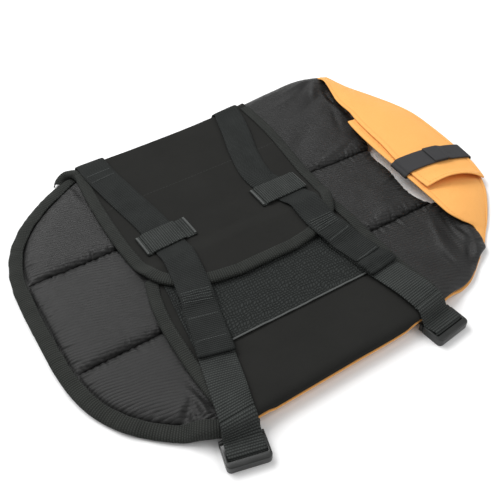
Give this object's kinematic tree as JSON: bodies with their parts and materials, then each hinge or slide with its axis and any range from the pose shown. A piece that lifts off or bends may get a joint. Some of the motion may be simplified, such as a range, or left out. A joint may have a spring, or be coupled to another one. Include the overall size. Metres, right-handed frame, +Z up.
{
  "type": "dog life jacket",
  "caption": "Padded dog life jacket lying flat, lining up, with overlapping belly flaps, webbing straps, side-release buckles and an orange chest band.",
  "frame": {"origin": "middle of the bounding box's underside, on the surface the jacket lies on", "axes": "+X from the tail end to the neck end, +Y from the side with the buckles to the other, +Z up"},
  "size_m": [0.4822, 0.3981, 0.0246],
  "materials": {
    "shell_nylon": "coated nylon, satin",
    "lining_taffeta": "taffeta, faint sheen",
    "flap_neoprene": "knit-faced neoprene, matte",
    "binding_tape": "folded tape, matte",
    "strap_webbing": "woven webbing, matte",
    "loop_pile": "brushed pile, matte",
    "neck_tape": "soft tape, matte",
    "buckle_plastic": "moulded plastic, satin"
  },
  "bodies": {
    "root": {"shell": "shell_nylon", "pad_near": "lining_taffeta", "pad_centre": "lining_taffeta", "pad_far": "lining_taffeta", "tail_binding": "binding_tape", "belly_flap_near": "flap_neoprene", "belly_flap_near_binding": "binding_tape", "hook_and_loop_patch": "loop_pile", "belly_flap_far": "flap_neoprene", "belly_flap_far_binding": "binding_tape", "chest_band_near": "shell_nylon", "chest_band_far": "shell_nylon", "neck_strap": "neck_tape", "strap_left": "strap_webbing", "keeper_loop_left": "strap_webbing", "buckle_webbing_left": "strap_webbing", "under_strap_left": "strap_webbing", "buckle_plug_left": "buckle_plastic", "buckle_socket_left": "buckle_plastic", "strap_right": "strap_webbing", "keeper_loop_right": "strap_webbing", "buckle_webbing_right": "strap_webbing", "under_strap_right": "strap_webbing", "buckle_plug_right": "buckle_plastic", "buckle_socket_right": "buckle_plastic"}
  },
  "joints": []
}
